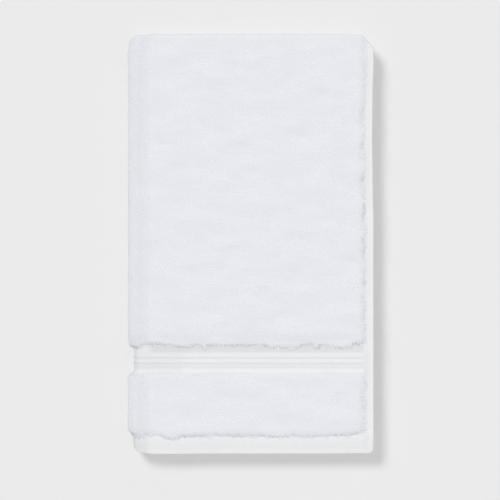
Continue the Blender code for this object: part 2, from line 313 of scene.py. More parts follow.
# Over the side fold, within this of its line, the panels' feet rise in a slope this much longer
FOOT_TURN = 0.022
FOOT_STRETCH = 1.9

# Raised lines of the band, on each face: where, half their width and their height, in mm
Rib = namedtuple("Rib", "name at half height")
RIBS = (
    Rib("low rib", 73.0, 1.5, 0.12),
    Rib("second rib", 76.5, 2.2, 0.50),
    Rib("first rib", 81.0, 2.0, 0.66),
)

# At the main panel's border, by the distance inside its foot: the crevice under its loops, which closes
# this near the side fold, and the row of tufts that lies flat before it, more or less by the stray
PILE_CREVICE = Rib("crevice", 0.3, 1.3, -0.16)
CREVICE_CLOSES = 0.020
FLAT_ROW = Rib("flat row", -1.4, 1.1, 0.42)
FLAT_ROW_SHARE = 0.5
FLAT_ROW_RUN = 1.7

# The folded hem: its depth, the step up to it and its height, and how it thins at its edge
HEM_DEPTH = 0.0143
HEM_RISE = 0.0008
HEM_HEIGHT = 0.0005
HEM_THINS = 0.2
HEM_THINS_OVER = 0.0015
SEWN_LINES = (Rib("hem line", 3.8, 0.7, -0.18), Rib("hem edge line", 1.6, 0.5, -0.13))
SELVEDGE_LINES = (
    Rib("selvedge seam", 5.0, 0.6, -0.14),
    Rib("selvedge line", 3.0, 0.6, -0.26),
    Rib("selvedge cord", 1.2, 1.0, 0.08),
)

# How far the panels' borders stray from their lines: waves of these lengths and heights, in mm, each
# begun at a further angle than the last, and the share of them that each border takes
STRAY_WAVES = ((2.7, 0.26), (3.9, 0.34), (5.9, 0.28), (9.7, 0.28), (16.3, 0.28), (29.0, 0.26))
STRAY_START = 1.9
MAIN_STRAY_SHARE = 0.6
LOWER_STRAY_SHARE = 0.75
SIDE_STRAY_SHARE = 0.9

# The main panel's last row of loops shows in these parts of its border, by the distance from the
# selvedged edge in mm, and hides in the others
LAST_ROW = ((18.0, 37.0), (45.0, 50.0), (61.0, 88.0), (139.0, 144.0))
LAST_ROW_LENGTH = 0.0027
LAST_ROW_SOFT = 0.002


def stray(at):
    """How far a border strays at a distance along it: a sum of sines, in metres."""
    return sum(
        height * MM * np.sin(2.0 * np.pi * at / (length * MM) + STRAY_START * number)
        for number, (length, height) in enumerate(STRAY_WAVES)
    )


def last_row(from_selvedge):
    """1 where the main panel's last row of loops shows and 0 where it hides, with S curves between."""
    shows = 0.0
    for start, end in LAST_ROW:
        begun = ease((from_selvedge - start * MM) / LAST_ROW_SOFT + 0.5)
        shows = shows + begun * ease((end * MM - from_selvedge) / LAST_ROW_SOFT + 0.5)
    return shows


def main_foot(from_selvedge):
    """How far from the hemmed edge the main panel's pile begins."""
    foot = MAIN_PILE_FOOT - LAST_ROW_LENGTH * last_row(from_selvedge)
    return foot + MAIN_STRAY_SHARE * stray(from_selvedge)


def main_border(from_selvedge, from_hem):
    """How far the crevice and the flat row at the main panel's foot sink and raise the face."""
    inside = from_hem - main_foot(from_selvedge)
    uneven = FLAT_ROW_SHARE + stray(FLAT_ROW_RUN * from_selvedge) / MM
    tufts = (1.0 - last_row(from_selvedge)) * uneven
    opened = 1.0 - ease(1.0 + (from_selvedge - 0.5 * CUT_WIDTH) / CREVICE_CLOSES)
    return sum(
        share * rib.height * MM * bump(inside, rib.at * MM, rib.half * MM)
        for share, rib in ((opened, PILE_CREVICE), (tufts, FLAT_ROW))
    )


def lower_foot(from_selvedge):
    """How far from the hemmed edge the lower panel's pile begins."""
    return LOWER_PILE_FOOT + LOWER_STRAY_SHARE * stray(-from_selvedge)


def side_foot(from_hem):
    """How far from the selvedged edge the pile begins."""
    return SELVEDGE_PILE_FOOT + SIDE_STRAY_SHARE * stray(from_hem)


def sloped(inside, width):
    """A parabola that rises from 0 at the edge, with a slope of 2 / width, to 1 at that width inside."""
    return 1.0 - (1.0 - np.clip(inside / width, 0.0, 1.0)) ** 2


def foot_rise(inside, width, from_selvedge):
    """How a panel's pile rises inside its foot: round, and in a longer slope over the side fold."""
    over = 1.0 - ease((0.5 * CUT_WIDTH - from_selvedge) / FOOT_TURN)
    return (1.0 - over) * rounded(inside, width) + over * sloped(inside, FOOT_STRETCH * width)


def pile_share(from_selvedge, from_hem):
    """The share of the pile's height: rounded at its borders, and falling softly to the raised strip."""
    lower = foot_rise(from_hem - lower_foot(from_selvedge), LOWER_PILE_EDGE, from_selvedge)
    fall = np.clip((from_hem - LOWER_PILE_TOP) / (STRIP_FOOT - LOWER_PILE_TOP), 0.0, 1.0)
    lower = lower * 0.5 * (1.0 + np.cos(np.pi * fall))
    main = foot_rise(from_hem - main_foot(from_selvedge), MAIN_PILE_EDGE, from_selvedge)
    return sloped(from_selvedge - side_foot(from_hem), SELVEDGE_PILE_EDGE) * (lower + main)


def reach(from_selvedge, from_hem):
    """Half the cloth's whole thickness, to the tops of the loops, at each point of the flat cloth."""
    pile = pile_share(from_selvedge, from_hem)
    inside = rounded(from_selvedge - SELVEDGE_PILE_FOOT, SELVEDGE_PILE_EDGE)
    ribs = sum(rib.height * MM * bump(from_hem, rib.at * MM, rib.half * MM) for rib in RIBS)
    ribs = ribs + main_border(from_selvedge, from_hem)
    hem = HEM_HEIGHT * ease((HEM_DEPTH + 0.5 * HEM_RISE - from_hem) / HEM_RISE)
    hem = hem * (1.0 - HEM_THINS * ease(1.0 - from_hem / HEM_THINS_OVER))
    sewn = sum(rib.height * MM * bump(from_hem, rib.at * MM, rib.half * MM) for rib in SEWN_LINES)
    side = sum(
        rib.height * MM * bump(from_selvedge, rib.at * MM, rib.half * MM) for rib in SELVEDGE_LINES
    )
    return 0.5 * (PLAIN + PILE * pile) + inside * ribs + hem + sewn + side


# ---------------------------------------------------------------- the loops of the pile

# How far the loops stand over the sheet and are sunk in it, how far their normals are turned towards
# the sheet's own and upwards, and how they vary: their least height, their size, and for those with a
# heading how far they splay from it and lean along it and aside
LOOP_STAND = 0.00026
LOOP_SINK = 0.00020
YARN_GLOW = 0.8
PILE_GLOW = 0.3
LEAST_STAND = 0.00015
LOOP_SIZES = (0.8, 1.15)
SPLAY = 0.6
LEAN_OUT = (0.3, 1.6)
LEAN_ASIDE = 0.7

# Loops stand where the pile has more than this share of its height, at their full height from this
# share on, and sink away over this length before the raised strip. The sheet keeps at least the last
# value on either side of its middle
LOOPED_FROM = 0.30
LOOPED_FULLY = 0.6
LOOPS_END_OVER = 0.002
LEAST_HALF = 0.25 * PLAIN

# A loop's standing height over the sheet, half its length, its yarn's radius, how far it leans, and how
# unevenly it stands
Yarn = namedtuple("Yarn", "stand reach radius lean uneven")
LOOP = Yarn(LOOP_STAND, 0.0011, 0.00034, 0.0003, 0.00005)
BORDER_LOOP = Yarn(0.0010, 0.0013, 0.00040, 0.0005, 0.00025)
SIDE_LOOP = Yarn(0.0008, 0.0013, 0.00040, 0.0005, 0.00030)

# Soft lumps of the pile: waves of these lengths and heights, in mm, each in directions spread evenly
LUMP_WAVES = ((5.5, 0.018), (7.0, 0.028), (9.0, 0.044), (12.0, 0.070), (17.0, 0.13), (26.0, 0.24))
LUMP_DIRECTIONS = 3
LUMP_TURN = 0.137
LUMP_START = 2.4
LUMP_STRETCH = 1.7
LUMPS_AT_FOLDS = 0.3
LUMPS_SETTLE = 0.012


def lumps(across, along):
    """How far the pile rises and sinks: for each length, waves in three directions, wider than long."""
    total = 0.0
    for number, (length, height) in enumerate(LUMP_WAVES):
        for part in range(LUMP_DIRECTIONS):
            angle = np.pi * (part / LUMP_DIRECTIONS + LUMP_TURN * number)
            run = np.cos(angle) * across / LUMP_STRETCH + np.sin(angle) * along
            start = LUMP_START * number + part
            total = total + height * MM * np.sin(2.0 * np.pi * run / (length * MM) + start)
    return total


def ground(across, along, face):
    """Half the thickness of the sheet that the loops stand on: the whole, less their stand.

    The lumps are on the side that shows, which is the outer face of the top and the bottom layer. The
    faces between the layers lie too close together for them.
    """
    from_selvedge, from_hem = edges(across, along)
    looped = ease(pile_share(from_selvedge, from_hem) / LOOPED_FULLY)
    ended = ease((from_hem - STRIP_LOOPS_END) / LOOPS_END_OVER) * (from_hem < STRIP_FOOT + MM)
    looped = looped * (1.0 - ended)
    on_side = ease((np.abs(across) - SIDE_FOLD_HALF) / LUMPS_SETTLE)
    on_end = ease((np.abs(along) - END_FOLD_HALF) / LUMPS_SETTLE)
    settled_share = LUMPS_AT_FOLDS + (1.0 - LUMPS_AT_FOLDS) * np.minimum(on_side, on_end)
    shows = (face > 0) * ease(0.5 + 0.5 * along / END_FOLD_HALF)
    full = reach(from_selvedge, from_hem) + shows * looped * settled_share * lumps(across, along)
    return np.maximum(full - LOOP_STAND * looped, np.minimum(full, LEAST_HALF))


def stations(*spans):
    """Distances divided evenly within each span (start, end, step), in mm, without repeats."""
    parts = [np.arange(start, end - 0.25 * step, step) for start, end, step in spans]
    return np.concatenate([*parts, [spans[-1][1]]]) * MM


def cloth_grid():
    """The flat cloth's grid lines: fine at edges, borders, ribs and folds, wide in the panels."""
    round_side = np.linspace(-SIDE_FOLD_HALF, SIDE_FOLD_HALF, 27)
    round_end = np.linspace(-END_FOLD_HALF, END_FOLD_HALF, 13)
    flat = FLAT_WIDTH / MM
    fine = stations(
        (0, 0.6, 0.15), (0.6, 4.2, 0.45), (4.2, 7.2, 1.0), (7.2, 9, 0.45), (9, 14, 1.0), (14, flat, 1.6)
    )
    coarse = stations((0, 0.6, 0.3), (0.6, 7.2, 1.65), (7.2, 9, 0.6), (9, 14, 2.5), (14, flat, 12.0))
    half = 0.5 * CUT_WIDTH
    across = np.concatenate([coarse[:-1] - half, round_side, half - fine[:-1][::-1]])
    flat = FLAT_LENGTH / MM
    fine = stations(
        (0, 0.6, 0.15), (0.6, 5.4, 0.6), (5.4, 13.6, 2.05), (13.6, 16.8, 0.4), (16.8, 20, 0.8),
        (20, 60, 3.3), (60, 72, 1.2), (72, 86, 0.5), (86, 93, 0.4), (93, 97, 1.0), (97, flat, 3.4),
    )
    coarse = stations(
        (0, 0.6, 0.3), (0.6, 13.6, 3.25), (13.6, 16.8, 0.8), (16.8, 20, 1.6), (20, 60, 20.0),
        (60, 72, 3.0), (72, 86, 1.75), (86, 93, 1.0), (93, 97, 2.0), (97, flat, 16.0),
    )
    half = 0.5 * CUT_LENGTH
    along = np.concatenate([coarse[:-1] - half, round_end, half - fine[:-1][::-1]])
    return across, along


def sheet_arrays():
    """The sheet as a closed surface: the grid on its two faces, joined round the rim.

    Each face lies ground() from the cloth's middle, less over the last EDGE_ROUND to a free edge: there
    it falls in a quarter circle to RIM_SHARE of that.
    """
    across, along = cloth_grid()
    grid = np.meshgrid(across, along, indexing="ij")
    near = np.minimum(*edges(*grid))
    at_rim = RIM_SHARE + (1.0 - RIM_SHARE) * rounded(near, EDGE_ROUND)
    halves = [face * at_rim * ground(*grid, face) for face in (1.0, -1.0)]
    points = np.concatenate([folded(*grid, half).reshape(-1, 3) for half in halves])
    count = grid[0].size
    number = np.arange(count).reshape(grid[0].shape)
    outer = np.stack([number[:-1, :-1], number[:-1, 1:], number[1:, 1:], number[1:, :-1]], axis=-1)
    outer = outer.reshape(-1, 4)
    rim = np.concatenate([number[:, 0], number[-1, 1:], number[-2::-1, -1], number[0, -2:0:-1]])
    after = np.roll(rim, -1)
    edge = np.stack([rim, after, after + count, rim + count], axis=-1)
    faces = np.concatenate([outer, outer[:, ::-1] + count, edge])
    flat = np.stack(grid, axis=-1).reshape(-1, 2)
    return points, faces, np.concatenate([flat, flat])


# How much longer the outer face is than the cloth's middle round each fold, its radius being taken this
# far inside the fold's outermost one, and the length that adds on either side of the fold's line
SIDE_FACE_INSIDE = 0.0005
END_FACE_INSIDE = 0.0003
SIDE_STRETCH = (SIDE_FOLD_RADIUS - SIDE_FACE_INSIDE) / (SIDE_FOLD_INSIDE + TERRY_PITCH)
END_STRETCH = (END_FOLD_RADIUS - END_FACE_INSIDE) / (0.5 * TERRY_PITCH)
SIDE_ARC = SIDE_FOLD_HALF * (SIDE_STRETCH - 1.0)
END_ARC = END_FOLD_HALF * (END_STRETCH - 1.0)


def outer_point(a, b):
    """The flat point across, along under a point of the outer face's own developed surface.

    The outer face is longer than the cloth's middle round the two folds, by the ratio of the radii.
    """
    side_half = SIDE_FOLD_HALF * SIDE_STRETCH
    end_half = END_FOLD_HALF * END_STRETCH
    past_side = a - np.sign(a) * (side_half - SIDE_FOLD_HALF)
    past_end = b - np.sign(b) * (end_half - END_FOLD_HALF)
    across = np.where(np.abs(a) < side_half, a / SIDE_STRETCH, past_side)
    along = np.where(np.abs(b) < end_half, b / END_STRETCH, past_end)
    return across, along


def scatter(rng, low, high, pitch):
    """Points on a grid of that pitch between two corners, each moved up to 0.45 of it at random."""
    lines = [np.arange(low[i] + 0.5 * pitch, high[i], pitch) for i in (0, 1)]
    grid = np.stack(np.meshgrid(*lines, indexing="ij"), axis=-1)
    grid = grid + rng.uniform(-0.45, 0.45, grid.shape) * pitch
    return grid.reshape(-1, 2).T


def unit(vectors):
    """The vectors at length 1."""
    return vectors / np.linalg.norm(vectors, axis=-1, keepdims=True)


def frames(across, along, face):
    """Each place on the sheet's face, with unit vectors along the face and straight out of it.

    The vectors are differences of folded() over a hundredth of a millimetre, made square. With them
    goes +1 or -1, as the second one runs with or against along.
    """
    def sunk(moved_across, moved_along, out=0.0):
        lift = ground(moved_across, moved_along, face) - LOOP_SINK + out
        return folded(moved_across, moved_along, face * lift)

    step = 0.01 * MM
    here = sunk(across, along)
    first = sunk(across + step, along) - here
    second = sunk(across, along + step) - here
    outwards = sunk(across, along, step) - here
    first = unit(first)
    out = np.cross(first, second)
    out = unit(out * np.sign(np.sum(out * outwards, axis=-1, keepdims=True)))
    squared = np.cross(out, first)
    return here, first, squared, out, np.sign(np.sum(squared * second, axis=-1))


def loop_arrays(rng, across, along, face, rings, yarn=LOOP, heading=None, sides=3):
    """Yarn loops as closed crescents that stand on one face of the cloth.

    The yarn's line is an arch: reach * cos(angle) in the cloth and stand * sin(angle) out of it, with
    angle from 0 to pi, leant over by a random amount, and turned at random in the cloth, or else with
    its lean towards a heading (across, along). Round it go rings of a few points, whose radius falls
    to nothing at the two ends, which are sunk in the sheet. Light spreads within the yarn and the pile,
    so each normal is turned from the yarn's round towards the sheet's own by YARN_GLOW, and from that
    towards the open side above by PILE_GLOW.
    """
    from_selvedge, from_hem = edges(across, along)
    pile = pile_share(from_selvedge, from_hem)
    kept = np.ones(len(across), bool)
    if heading is None:
        kept = (pile > LOOPED_FROM) & ~((from_hem > STRIP_LOOPS_END) & (from_hem < STRIP_FOOT + MM))
    across, along = across[kept], along[kept]
    count = len(across)
    here, first, second, out, along_sign = frames(across, along, face)
    stand = yarn.stand + LOOP_SINK - yarn.radius
    stand = np.maximum(stand + rng.uniform(-yarn.uneven, 0.5 * yarn.uneven, count), LEAST_STAND)
    size = rng.uniform(*LOOP_SIZES, count)
    if heading is None:
        turn = rng.uniform(0.0, 2.0 * np.pi, count)
        lean = rng.uniform(-yarn.lean, yarn.lean, (2, count))
    else:
        turn = np.arctan2(heading[1] * along_sign, heading[0] + 0.0 * across)
        turn = turn + rng.uniform(-SPLAY, SPLAY, count)
        lean = np.stack([rng.uniform(*LEAN_OUT, count), rng.uniform(-LEAN_ASIDE, LEAN_ASIDE, count)])
        lean = lean * yarn.lean

    angle = np.linspace(0.0, np.pi, rings + 2)[:, None]
    bend = np.sin(angle)
    run = yarn.reach * size * np.cos(angle)
    line = np.stack([run + lean[0] * bend, lean[1] * bend + 0 * run, stand * bend], axis=-1)
    ahead = unit(np.gradient(line, axis=0))
    side = unit(np.cross(ahead, np.array([0.0, 1.0, 0.0])))
    up = np.cross(side, ahead)
    radius = yarn.radius * size * np.sqrt(bend)
    turns = 2.0 * np.pi * (np.arange(sides) / sides + 0.25)[:, None, None]
    round_out = np.cos(turns)[..., None] * up[None] + np.sin(turns)[..., None] * side[None]
    ring = line[None] + radius[None, ..., None] * round_out
    tips = line[[0, -1]]
    local = np.concatenate([tips, ring[:, 1:-1].transpose(1, 0, 2, 3).reshape(-1, count, 3)])
    normals = round_out[:, 1:-1].transpose(1, 0, 2, 3).reshape(-1, count, 3)
    normals = np.concatenate([np.stack([-ahead[0], ahead[-1]]), normals]) * (1.0 - YARN_GLOW)
    normals[..., 2] += YARN_GLOW

    def turned(local):
        """Local vectors turned in the cloth, as parts along first and second, and in space."""
        cos, sin = np.cos(turn), np.sin(turn)
        a = cos * local[..., 0] - sin * local[..., 1]
        b = sin * local[..., 0] + cos * local[..., 1]
        return a, b, a[..., None] * first + b[..., None] * second + local[..., 2:] * out

    a, b, moved = turned(local)
    points = (here + moved).transpose(1, 0, 2).reshape(-1, 3)
    flat = np.stack([across + a, along + along_sign * b], axis=-1).transpose(1, 0, 2).reshape(-1, 2)
    normals = unit(turned(normals)[2].transpose(1, 0, 2).reshape(-1, 3)) * (1.0 - PILE_GLOW)
    normals[..., 2] += PILE_GLOW

    around = np.arange(sides)
    after = np.roll(around, -1)
    first_ring, last_ring = 2, 2 + sides * (rings - 1)
    faces = [np.stack([0 * around, first_ring + after, first_ring + around], axis=-1)]
    for ring_number in range(rings - 1):
        low = 2 + sides * ring_number
        high = low + sides
        faces.append(np.stack([low + around, low + after, high + around], axis=-1))
        faces.append(np.stack([low + after, high + after, high + around], axis=-1))
    faces.append(np.stack([0 * around + 1, last_ring + around, last_ring + after], axis=-1))
    faces = np.concatenate(faces)
    per_loop = 2 + sides * rings
    faces = (faces[None] + per_loop * np.arange(count)[:, None, None]).reshape(-1, 3)
    return points, faces, flat, unit(normals)


# ---------------------------------------------------------------- materials

class Value:
    """A shader socket that Python's + - * and / turn into Math nodes."""

    def __init__(self, tree, socket):
        self.tree = tree
        self.socket = socket

    def made(self, operation, *operands):
        return add_node(self.tree, "Math", {"operation": operation}, dict(enumerate(operands)))

    def __add__(self, other):
        return self.made("ADD", self, other)

    def __radd__(self, other):
        return self.made("ADD", other, self)

    def __sub__(self, other):
        return self.made("SUBTRACT", self, other)

    def __rsub__(self, other):
        return self.made("SUBTRACT", other, self)

    def __mul__(self, other):
        return self.made("MULTIPLY", self, other)

    def __rmul__(self, other):
        return self.made("MULTIPLY", other, self)

    def __truediv__(self, other):
        return self.made("DIVIDE", self, other)

    def __rtruediv__(self, other):
        return self.made("DIVIDE", other, self)

    def sine(self):
        return self.made("SINE", self)

    def size(self):
        return self.made("ABSOLUTE", self)

    def eased_over(self, length):
        """0 below 0 and 1 above that length, with an S between."""
        settings = {"interpolation_type": "SMOOTHSTEP"}
        return add_node(self.tree, "MapRange", settings, {"Value": self, "From Max": length})

    def between(self, low, high, soft):
        """1 between two places and 0 outside, passing smoothly over the soft length inside each."""
        return (self - low).eased_over(soft) * (high - self).eased_over(soft)


def add_node(tree, kind, settings=None, inputs=None, output=0):
    """Any node: its type, its settings, then its inputs by name or number. One output comes back."""
    node = tree.nodes.new("ShaderNode" + kind)
    for name, value in (settings or {}).items():
        setattr(node, name, value)
    feed(tree, node, inputs or {})
    return Value(tree, node.outputs[output])


def feed(tree, node, inputs):
    """Links each input that is given as a Value, and sets the others."""
    for name, value in inputs.items():
        if isinstance(value, Value):
            tree.links.new(value.socket, node.inputs[name])
        else:
            node.inputs[name].default_value = value


def mixed(tree, level, dark, light):
    """The colour at that level between a dark one at 0 and a light one at 1."""
    return add_node(tree, "Mix", {"data_type": "RGBA"}, {0: level, 6: dark, 7: light}, 2)


def split(vector):
    """The three parts of a vector."""
    first = add_node(vector.tree, "SeparateXYZ", None, {0: vector})
    return [Value(vector.tree, socket) for socket in first.socket.node.outputs]


def new_material(name):
    """An empty material's node tree and its shader, with the material itself."""
    material = bpy.data.materials.new(name)
    material.use_nodes = True
    return material, material.node_tree, material.node_tree.nodes["Principled BSDF"]


# The dark and the light colour of each finish, its level between them, and how much of that way tufts,
# patches, threads and the weave's own unevenness take it. The shades below are painted light and shade,
# fixed to places on the cloth
LOOP_DARK = (0.665, 0.672, 0.722, 1.0)
LOOP_LIGHT = (0.898, 0.905, 0.942, 1.0)
WEAVE_DARK = (0.70, 0.705, 0.722, 1.0)
WEAVE_LIGHT = (0.865, 0.87, 0.892, 1.0)
LOOP_LEVEL = 0.75
TUFT_SHARE = 0.10
TUFTS_PER_METRE = 420.0
PATCH_SHARE = 0.60
PATCHES_PER_METRE = 60.0
THREAD_ACROSS = 0.00080
THREAD_ALONG = 0.00062
THREAD_SHARE = 0.05
WEAVE_NOISE_SHARE = 0.3
WEAVE_NOISE_PER_METRE = 300.0
THREAD_HEIGHT = 0.5
WEAVE_NOISE_HEIGHT = 0.6

# Painted shade: parts of the flat weave whose colour is made darker to stand in for the shade over the
# band, its low part, under the main border and over the hem, by the distance from the hemmed edge in mm:
# from where to where, how softly, and by how much of the way from the light colour to the dark one
Shade = namedtuple("Shade", "name start end soft amount")
SHADES = (
    Shade("band", 70.0, 92.0, 1.5, 0.16),
    Shade("low part", 70.3, 77.0, 1.5, 0.14),
    Shade("under the main border", 83.6, 94.0, 2.2, 0.46),
    Shade("hem", -2.0, 10.0, 1.5, 0.10),
)
PLAIN_LEVEL = 0.80
SELVEDGE_SHADE = 0.06
# Painted shade: a strip of the selvedge's weave next to the pile is made darker, where the pile's shade
# falls
PAINTED_SHADE_BESIDE_PILE = Shade("selvedge beside the pile", 4.2, SELVEDGE_PILE_FOOT / MM, 1.2, 0.14)

# Painted shade where the hem and the band turn over the side fold and curve down into shade: their weave
# is made darker by the distance from the fold's line, each with where it applies by the distance from
# the hemmed edge. Under the main border, near the fold, the painted shade of the weave is taken back
HEM_TURN_PAINTED_SHADE = (Shade("turn of the hem", 1.0, 15.0, 6.5, 0.38), Shade("hem", -2.0, 15.0, 1.0, 1.0))
BAND_TURN_PAINTED_SHADE = (Shade("turn of the band", 0.0, 46.0, 9.0, 0.18), Shade("band", 64.0, 94.0, 4.0, 1.0))
BORDER_SHADE_TAKEN_BACK = (
    Shade("turn at the main border", -10.0, 17.0, 6.0, -0.46),
    Shade("under the main border", 83.6, 94.0, 2.2, 1.0),
)

# Painted light and shade on the pile's yarns: lighter at the outermost turn of each fold, and darker to
# stand in for shade inside the side fold and near the panels' borders. By the distance from the side
# fold's line, from the end fold's line, and from the hemmed edge
SIDE_FOLD_PAINTED_LIGHT_AND_SHADE = (
    Shade("turn", -8.0, 4.4, 1.6, -0.24),
    Shade("painted fold shade", 4.4, 11.0, 3.0, 0.07),
    Shade("wider painted fold shade", 4.4, 18.0, 5.5, 0.13),
)
END_FOLD_PAINTED_LIGHT = (Shade("turn", -6.0, 3.4, 1.6, -0.20),)
PILE_PAINTED_SHADE = (
    Shade("at the hem", 10.0, 21.0, 3.0, 0.12),
    Shade("before the main border", 89.0, 104.5, 7.0, 0.11),
)

# Where the sheet carries loops, by the distance from the hemmed edge, and its level from the pile's
# dark colour to the light one between them
LOOPED = (Shade("lower panel", 15.6, 68.0, 1.0, 1.0), Shade("main panel", 91.0, 400.0, 1.0, 1.0))
UNDER_LOOPS = 0.50


def shaded(at, shades):
    """The sum of what each of the shades takes from the level at a distance."""
    return sum(s.amount * at.between(s.start * MM, s.end * MM, s.soft * MM) for s in shades)


def pile_colour(tree, u, from_hem, level):
    """The pile's colour at a level from dark to light, less what its painted shades take at each place
    and plus what its painted light adds.
    """
    end_fold = 0.5 * CUT_LENGTH - from_hem
    for at, shades in ((u, SIDE_FOLD_PAINTED_LIGHT_AND_SHADE), (end_fold, END_FOLD_PAINTED_LIGHT), (from_hem, PILE_PAINTED_SHADE)):
        level = level - shaded(at, shades)
    return mixed(tree, level, LOOP_DARK, LOOP_LIGHT)


def loop_cotton():
    """Loop yarn: white, a little lighter and darker from tuft to tuft and from patch to patch, with
    painted light and shade at the folds and near the borders.
    """
    material, tree, surface = new_material("white_cotton_loops")
    place = add_node(tree, "TexCoord", output="Object")
    grain = {"Vector": place, "Scale": TUFTS_PER_METRE, "Detail": 2.0}
    tuft = add_node(tree, "TexNoise", None, grain)
    flat = add_node(tree, "UVMap", {"uv_map": "flat"})
    narrowing = {0: flat, 1: (1.0 / LUMP_STRETCH, 1.0, 0.0)}
    narrowed = add_node(tree, "VectorMath", {"operation": "MULTIPLY"}, narrowing)
    grain = {"Vector": narrowed, "Scale": PATCHES_PER_METRE, "Detail": 3.0}
    patch = add_node(tree, "TexNoise", None, grain)
    u, v, _ = split(flat)
    level = LOOP_LEVEL + (tuft - 0.5) * TUFT_SHARE + (patch - 0.5) * PATCH_SHARE
    # Painted light and shade of the pile, by place on the cloth
    colour = pile_colour(tree, u, 0.5 * CUT_LENGTH - v.size(), level)
    feed(tree, surface, {"Base Color": colour, "Roughness": 0.95, "Specular IOR Level": 0.1})
    return material


def woven_cotton():
    """Flat weave: two sets of threads crossing, from the cloth's own flat coordinates in metres."""
    material, tree, surface = new_material("white_cotton_weave")
    flat = add_node(tree, "UVMap", {"uv_map": "flat"})
    u, v, _ = split(flat)
    threads = (u * (2.0 * np.pi / THREAD_ACROSS)).sine() * (v * (2.0 * np.pi / THREAD_ALONG)).sine()
    place = add_node(tree, "TexCoord", output="Object")
    grain = {"Vector": place, "Scale": WEAVE_NOISE_PER_METRE, "Detail": 3.0}
    noise = add_node(tree, "TexNoise", None, grain)
    level = PLAIN_LEVEL + (noise - 0.5) * WEAVE_NOISE_SHARE + threads * THREAD_SHARE - SELVEDGE_SHADE
    from_hem = 0.5 * CUT_LENGTH - v.size()
    half = 0.5 * CUT_WIDTH - SELVEDGE_PILE_FOOT
    inside = u.between(-half, half, 2.0 * MM)
    # Painted shade of the weave over the band, under the main border and on the hem, inside the
    # selvedges
    level = level + (SELVEDGE_SHADE - shaded(from_hem, SHADES)) * inside
    # Painted shade on the selvedge's weave beside the pile
    half = 0.5 * CUT_WIDTH - PAINTED_SHADE_BESIDE_PILE.start * MM
    level = level - PAINTED_SHADE_BESIDE_PILE.amount * (u.between(-half, half, PAINTED_SHADE_BESIDE_PILE.soft * MM) - inside)
    # Painted shade where the hem and the band turn over the side fold, taken back under the main border
    for turn, where in (HEM_TURN_PAINTED_SHADE, BAND_TURN_PAINTED_SHADE, BORDER_SHADE_TAKEN_BACK):
        level = level - shaded(u, (turn,)) * shaded(from_hem, (where,))
    height = threads * THREAD_HEIGHT + noise * WEAVE_NOISE_HEIGHT
    bumps = add_node(tree, "Bump", None, {"Height": height, "Strength": 0.35, "Distance": 0.0002})
    colour = mixed(tree, level, WEAVE_DARK, WEAVE_LIGHT)
    looped = inside * shaded(from_hem, LOOPED)
    # The sheet under the loops takes the pile's colour with its painted light and shade
    colour = mixed(tree, looped, colour, pile_colour(tree, u, from_hem, UNDER_LOOPS))
    feed(tree, surface, {"Base Color": colour, "Roughness": 0.9, "Normal": bumps})
    return material


def plain_floor():
    """A matt white surface."""
    material, tree, surface = new_material("white_surface")
    inputs = {"Base Color": (0.80, 0.80, 0.80, 1.0), "Roughness": 1.0, "Specular IOR Level": 0.0}
    feed(tree, surface, inputs)
    return material


# ---------------------------------------------------------------- pieces

MAP_MARGIN = 0.01


def add_piece(name, material, points, faces, flat=None, normals=None):
    """A mesh object at the origin with its flat coordinates and its map for baking as UV maps."""
    mesh = bpy.data.meshes.new(name)
    corners = faces.shape[1]
    mesh.vertices.add(len(points))
    mesh.vertices.foreach_set("co", points.astype(np.float32).ravel())
    mesh.loops.add(faces.size)
    mesh.loops.foreach_set("vertex_index", faces.astype(np.int32).ravel())
    mesh.polygons.add(len(faces))
    mesh.polygons.foreach_set("loop_start", np.arange(0, faces.size, corners, dtype=np.int32))
    mesh.update(calc_edges=True)
    if flat is not None:
        at_corner = flat[faces.ravel()]
        half = 0.5 * np.array([CUT_WIDTH, CUT_LENGTH])
        share = MAP_MARGIN + (1.0 - 2.0 * MAP_MARGIN) * (at_corner + half) / (2.0 * half)
        for label, values in (("flat", at_corner), ("OFBake", share)):
            layer = mesh.uv_layers.new(name=label)
            layer.uv.foreach_set("vector", values.astype(np.float32).ravel())
    mesh.shade_smooth()
    if normals is not None:
        mesh.normals_split_custom_set_from_vertices(normals.astype(np.float32))
    mesh.materials.append(material)
    made = bpy.data.objects.new(name, mesh)
    bpy.context.scene.collection.objects.link(made)
    return made


# The shift that brings the folded cloth, with its whole pile, to the middle of the solid's box
full_grid = np.meshgrid(*cloth_grid(), indexing="ij")
full_half = reach(*edges(*full_grid))
full = np.concatenate([folded(*full_grid, face * full_half).reshape(-1, 3) for face in (1, -1)])
shift = 0.5 * (box_low + box_high) - 0.5 * (full.min(axis=0) + full.max(axis=0))
shift[2] = box_low[2]


def settled(points):
    """Moved to the solid's place, with what would be under the surface below pressed flat on it."""
    points = points + shift
    points[:, 2] = np.maximum(points[:, 2], box_low[2])
    return points


def joined(parts):
    """Several sets of loops as one: points, faces, flat places and normals."""
    offsets = np.cumsum([0] + [len(part[0]) for part in parts[:-1]])
    faces = np.concatenate([part[1] + offset for part, offset in zip(parts, offsets)])
    points, _, flat, normals = (np.concatenate(column) for column in zip(*parts))
    return settled(points), faces, flat, normals


weave = woven_cotton()
terry = loop_cotton()
points, faces, flat = sheet_arrays()
cloth = add_piece("towel_cloth", weave, settled(points), faces, flat)

